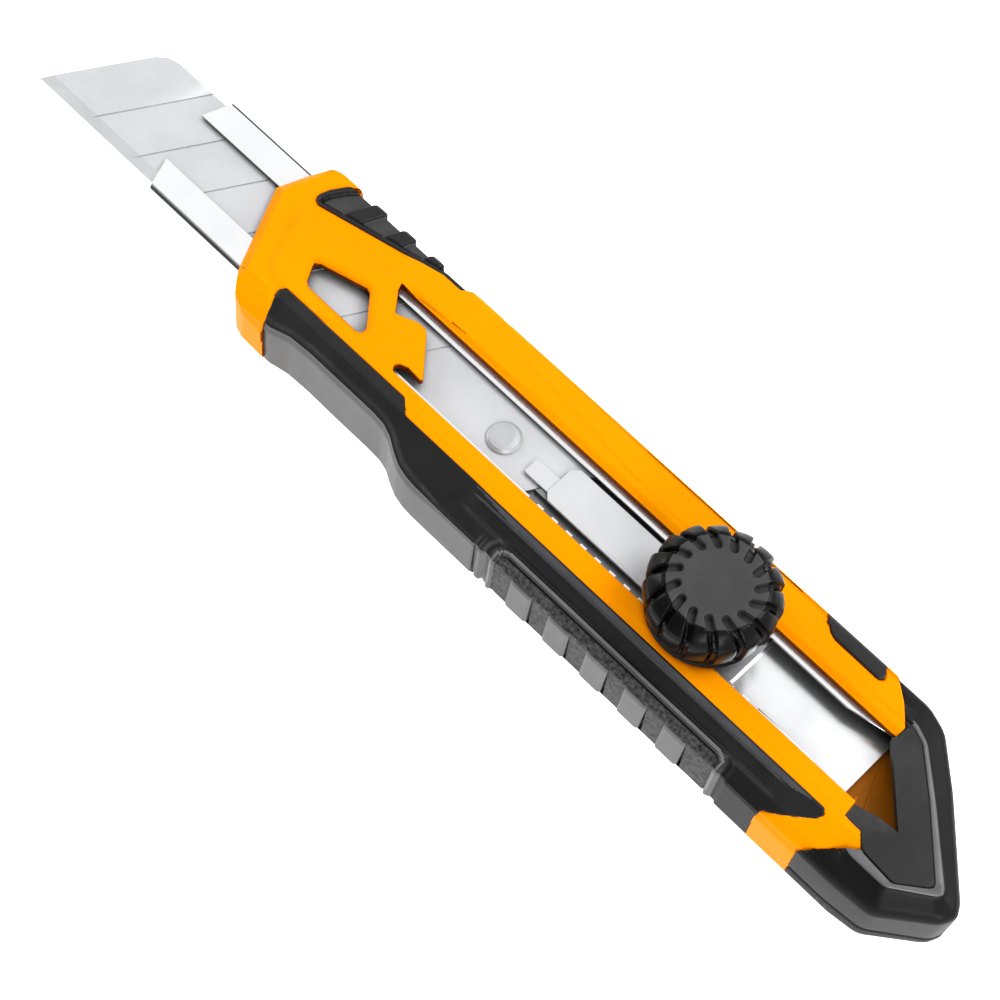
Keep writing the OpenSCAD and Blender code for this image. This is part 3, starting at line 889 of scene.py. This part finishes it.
def cap_skin():
    """The cap's outside as a closed solid, drawn in rows from the panel outwards and down the wall."""
    inner = softened(PANEL_OUTLINE, 0.6)
    ring = softened(RING_OUTLINE, 0.7)
    wall = softened([(*c[2], c[3]) for c in CAP_COLUMNS], 1.1)
    wall, wall_z = wall[:, :2], wall[:, 2]
    band, fall = ring - inner, wall - ring
    across = band / np.linalg.norm(band, axis=1)[:, None]
    run = np.linalg.norm(fall, axis=1)
    out = fall / run[:, None]
    n = len(run)

    # The grooved ring round the panel
    grooved = ((0, 0), (0.1, 0.02), (0.2, 0.28), (0.32, 0.28), (0.42, 0.06))
    rows = [(inner + across * d, CAP_TOP - depth) for d, depth in grooved]
    rows.append((ring - across * 0.25, CAP_TOP - 0.16))
    rows.append((ring, CAP_TOP - 0.24))

    # The slopes and the rounded edge below them
    rows.append((ring + out * 0.22, CAP_TOP - 0.5))
    slope = (CAP_TOP - 0.55 - wall_z) / (run - 0.1)
    for d in [np.full(n, 0.5)] + [1.0 + (run - CAP_RADIUS - 1.0) * part for part in (0, 0.35, 0.7, 1)]:
        rows.append((ring + out * d[:, None], CAP_TOP - 0.5 - slope * (d - 0.2)))
    flat_z = rows[-1][1]
    low_z = wall_z - CAP_RADIUS * 0.9
    for a in np.linspace(0, math.pi / 2, 7)[1:]:
        reach = CAP_RADIUS * math.sin(a)
        z = flat_z - slope * reach - (flat_z - slope * CAP_RADIUS - low_z) * (1 - math.cos(a))
        rows.append((wall - out * (CAP_RADIUS - reach + SKIN), z))

    # The wall with its parting line, and the rounded back edge
    rise = along(CAP_RISE, wall[:, 0])
    for z, inset in ((0.4, SKIN), (0.12, 0.28), (-0.12, 0.28), (-0.4, SKIN)):
        rows.append((wall - out * inset, PARTING + z + rise * 0.35))
    for a in np.linspace(0, math.pi / 2, 6):
        rows.append((wall - out * (1 + SKIN - math.cos(a)), rise + 1.02 - math.sin(a)))
    rows.append((wall - out * (1 + SKIN), -1.0))

    points = [place(*p, h) for row, z in rows for p, h in zip(row, np.broadcast_to(z, n))]
    return closed_from_points("cap_cutter", points, tube_faces(len(rows), n))


cap = copy_node("end_cap", "end_cap_shell")
keep_inside(cap, cap_skin())
shade(cap, 30)
finish_piece(cap, "end_cap", "cap_plastic", [CAP, CAP_RING_HIGHLIGHT, CAP_SLOPE_SHADE], "end_cap")
face_s, face_y, face_z = centres(cap)
# Painted shade on the slopes and wall outside the panel, apart from the ring
sloped = outline_distance(face_s, face_y, PANEL_OUTLINE) > 0.3
# Painted highlight on the ring round the panel
ring_highlight = sloped & (outline_distance(face_s, face_y, RING_OUTLINE) < 0.02)
ring_highlight &= (face_z > FACE - 0.4) & (face_s > 166)
paint(cap, np.select([ring_highlight, sloped], [1, 2], 0))

# ---- Knob ----

KNOB_CROWN = KNOB_HIGH.z / MM
KNOB_HUB = KNOB_LOW.z / MM
KNOB_BASE = FACE + 0.4
KNOB_RADIUS = (KNOB_HIGH.x - KNOB_LOW.x) / 2 / MM
KNOB_FLAT = 7.3      # radius of the flat top
KNOB_BORE = 3.95
KNOB_COVER = 2.2     # thickness over the bore
SLOTS = 15
SLOT_PERIOD = 2 * math.pi / SLOTS
SLOT_START = 5.75    # radius where the slots begin
SLANT = math.radians(25)
# Distances from a slot's middle where the skin has points; nearer the axis than SPREAD they keep their angles
ACROSS = np.array([0, 0.2, 0.34, 0.42, 0.5, 0.58, 0.66, 0.8, 0.98])
SPREAD = 5.5


def knob_profile():
    """The knob's profile as [radius, z]: its outside from the top's middle to the base, and its inside."""
    top, base, big = KNOB_CROWN, KNOB_BASE, KNOB_RADIUS
    side = np.array([
        (KNOB_FLAT, top), (7.75, top - 0.12), (8.3, top - 0.45), (9.15, top - 1.1), (9.7, top - 1.75),
        (big - 0.08, top - 2.5), (big, top - 3.3), (big - 0.02, top - 4.3), (big - 0.25, base + 3.6),
        (big - 0.8, base + 2.1), (big - 1.3, base + 1.15), (big - 1.35, base + 0.75),
        (big - 1.1, base + 0.6), (big - 1.05, base + 0.2), (big - 1.3, base),
    ])
    length = np.concatenate([[0], np.cumsum(np.hypot(*np.diff(side, axis=0).T))])
    fine = np.arange(0.25, length[-1], 0.25)
    outside = [(0.0, top - 0.12)]
    outside += [(r, top - 0.12 + 0.12 * fade(r, 3, 5)) for r in np.linspace(1.2, 4.6, 5)]
    outside += [(r, top) for r in np.linspace(4.9, KNOB_FLAT, 16)]
    outside += list(zip(np.interp(fine, length, side[:, 0]), np.interp(fine, length, side[:, 1])))
    inside = [
        (big - 1.3, base), (6.5, base), (4.7, base), (4.7, KNOB_HUB), (KNOB_BORE, KNOB_HUB),
        (KNOB_BORE, top - KNOB_COVER), (0.0, top - KNOB_COVER),
    ]
    return outside, inside


def slot_angle(r):
    """Angle at which a slot's line passes the radius r, and the line's slant against the radius there."""
    if r <= SLOT_START:
        return 0.0, SLANT
    t = -SLOT_START * math.cos(SLANT) + math.sqrt(r * r - (SLOT_START * math.sin(SLANT)) ** 2)
    angle = math.atan2(t * math.sin(SLANT), SLOT_START + t * math.cos(SLANT))
    return angle, SLANT - angle


def slot_depth(r, z, angles, turn):
    """How far the knob's outside lies inside its profile, at angles round one slot."""
    x, y = r * np.cos(angles) - SLOT_START, r * np.sin(angles)
    ahead = x * math.cos(SLANT) + y * math.sin(SLANT)
    beside = np.abs(y * math.cos(SLANT) - x * math.sin(SLANT))
    depth = fade(np.where(ahead > 0, beside, np.hypot(x, y)), 0.7, 0.46)
    if z < KNOB_CROWN - 0.2:
        below = KNOB_CROWN - z
        above = z - KNOB_BASE
        depth = depth * (1 - 0.35 * fade(below, 0.6, 2.6)) * fade(above, 1.0, 2.2)
        # Each tooth leans back a little, which scallops the outline
        part = ((angles - turn) / SLOT_PERIOD) % 1
        depth = depth + 0.5 * part * part * fade(above, 0.8, 2.3) * fade(below, 0, 1.5)
    return depth


def knob_piece():
    """The knob as one turned skin, its slots following the same slant from the top down the side."""
    outside, inside = knob_profile()
    rings = np.array(outside + inside)
    step_r, step_z = np.gradient(rings[:, 0]), np.gradient(rings[:, 1])
    offsets = np.concatenate([-ACROSS[:0:-1], ACROSS])
    points, matte = [], []
    for k, (r, z) in enumerate(rings):
        matte.append(r <= KNOB_FLAT + 0.1 and z > KNOB_CROWN - 0.3)
        turn, lean = slot_angle(r)
        r = max(r, 1e-6)
        angles = turn + offsets / (max(r, SPREAD) * math.cos(lean))
        tooth = np.linspace(angles[-1], angles[0] + SLOT_PERIOD, 5)[1:-1]
        angles = np.concatenate([angles, tooth])
        depth = slot_depth(r, z, angles, turn) if k < len(outside) else np.zeros(len(angles))
        size = math.hypot(step_r[k], step_z[k]) or 1
        radii = r + depth * step_z[k] / size
        heights = z - depth * step_r[k] / size
        for i in range(SLOTS):
            for a, q, h in zip(angles + i * SLOT_PERIOD, radii, heights):
                x, y = KNOB_AXIS.x + q * math.cos(a) * MM, KNOB_AXIS.y + q * math.sin(a) * MM
                points.append((x, y, h * MM))
    columns = len(points) // len(rings)
    faces, kinds = [], []
    for k in range(len(rings) - 1):
        for c in range(columns):
            n = (c + 1) % columns
            faces.append((k * columns + c, (k + 1) * columns + c, (k + 1) * columns + n, k * columns + n))
            kinds.append(0 if matte[k + 1] else 1)
    o = from_points("lock_knob_shell", points, faces)
    paint(o, kinds)
    with editing(o) as bm:
        bmesh.ops.remove_doubles(bm, verts=bm.verts, dist=0.002 * MM)
        bmesh.ops.recalc_face_normals(bm, faces=bm.faces)
    return o


knob = knob_piece()
shade(knob, 50, weighted=False)
finish_piece(knob, "lock_knob", "knob_plastic", [KNOB_TOP, KNOB_SIDE], "knob")

# ---- Hold-down plate ----

plate = rounded(copy_node("hold_down_plate", "hold_down_sheet"), 0.12, segments=2)
shade(plate)
finish_piece(plate, "slider", "plate_grey", [PLATE], "hold_down_plate")

# ---- Blade channel ----

channel = copy_node("blade_channel", "channel_sheet")
shade(channel)
finish_piece(channel, "handle", "stainless", [STEEL, BEND_SHADE], "blade_channel")

# Painted shade: the bends of the sheet and the lips' edges in front of the handle get a near-black copy of
# the steel
face_s, face_y, face_z = centres(channel)
sideways = np.abs(face_values(channel, "normal")[:, 1])
high = face_z > CHANNEL_TOP - 1.2
shaded_bends = (np.abs(face_y) > 9.1) & (sideways > 0.6) & high
shaded_bends |= (face_y < -9.1) & (sideways > 0.25) & high
shaded_bends |= (np.abs(face_y) < 5.2) & (sideways > 0.9) & (face_s < 60)
paint(channel, shaded_bends)

# ---- Blade ----

blade = copy_node("blade", "blade_strip")
shade(blade, 12, weighted=False)
finish_piece(blade, "slider", "blade_steel", [BLADE, GROUND, SCORE], "blade")
face_s, face_y, face_z = centres(blade)
ground = face_y > 7.15
scored = (face_z < BLADE_TOP - 0.05) & (face_z > BLADE_TOP - 0.2) & (np.abs(face_y) < 7)
paint(blade, np.select([ground, scored], [1, 2], 0))

# ---- Parts that keep the CAD's mesh ----


def dress(node, finish):
    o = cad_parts[node]
    if not o.data.materials:
        o.data.materials.append(finish)
    for slot in o.material_slots:
        slot.link = "OBJECT"
        slot.material = finish


dress("blade_stud", STUD)
dress("slide_carrier", SLIDER)
dress("lock_bolt", STEEL)
dress("pressure_washer", STEEL)
dress("spring_washer", SLIDER)
dress("knob_insert", BRASS)

# ---- Stage ----

bpy.context.scene.view_settings.view_transform = "Standard"

FLOOR_SIZE = 3.0      # metres from the middle to a side
floor = from_points(
    "floor",
    [(x * FLOOR_SIZE, y * FLOOR_SIZE, 0) for x, y in ((-1, -1), (1, -1), (1, 1), (-1, 1))],
    [(0, 1, 2, 3)],
)
floor.location.z = -0.05 * MM
pale = material(
    "floor_pale", Base_Color=(0.3, 0.3, 0.3, 1), Roughness=0.9, Specular_IOR_Level=0.1,
    Emission_Color=(1, 1, 1, 1), Emission_Strength=1.6,
)[0]
floor.data.materials.append(pale)


def white_tent():
    """A white sky with one dark side, which the finger side's slopes reflect."""
    world = bpy.data.worlds.new("world")
    world.use_nodes = True
    nodes, links = world.node_tree.nodes, world.node_tree.links
    towards = nodes.new("ShaderNodeVectorMath")
    towards.operation = "DOT_PRODUCT"
    towards.inputs[1].default_value = Vector((0.12, 0.78, 0.6)).normalized()
    links.new(nodes.new("ShaderNodeTexCoord").outputs["Generated"], towards.inputs[0])
    level = map_range(nodes, links, towards.outputs["Value"], (0.6, 0.9), (1.0, 0.08), "SMOOTHSTEP")
    nodes["Background"].inputs["Color"].default_value = (1, 1, 1, 1)
    links.new(level, nodes["Background"].inputs["Strength"])
    return world


def soft_light(name, position, size, watts):
    """A square area light, size metres wide, that looks at the knife."""
    data = bpy.data.lights.new(name, "AREA")
    data.shape = "SQUARE"
    data.size = size
    data.energy = watts
    o = new_object(name, data)
    o.location = position
    o.rotation_euler = (-Vector(position)).to_track_quat("-Z", "Y").to_euler()


bpy.context.scene.world = white_tent()
soft_light("key", (-0.38, -0.46, 0.75), 0.4, 5)
soft_light("fill", (-0.6, 0.4, 0.45), 0.3, 3)
soft_light("front", (0.7, 0.1, 0.35), 0.3, 2.5)

# ---- Camera, as it was fitted to the photo ----

EYE = Vector((-0.0971, 0.1323, 0.32055))
RIGHT = Vector((-0.7052, -0.7047, 0.0788)).normalized()
FORWARD = Vector((0.2621, -0.3623, -0.8945)).normalized()
UP = RIGHT.cross(FORWARD)
camera_data = bpy.data.cameras.new("camera")
camera_data.lens = 85.5
camera_data.sensor_width = 36
camera_data.shift_x, camera_data.shift_y = 0.0033, -0.0006
camera_data.clip_start = 0.01
camera = new_object("camera", camera_data)
camera.matrix_world = Matrix.Translation(EYE) @ Matrix(
    [(RIGHT.x, UP.x, -FORWARD.x), (RIGHT.y, UP.y, -FORWARD.y), (RIGHT.z, UP.z, -FORWARD.z)]
).to_4x4()
bpy.context.scene.camera = camera
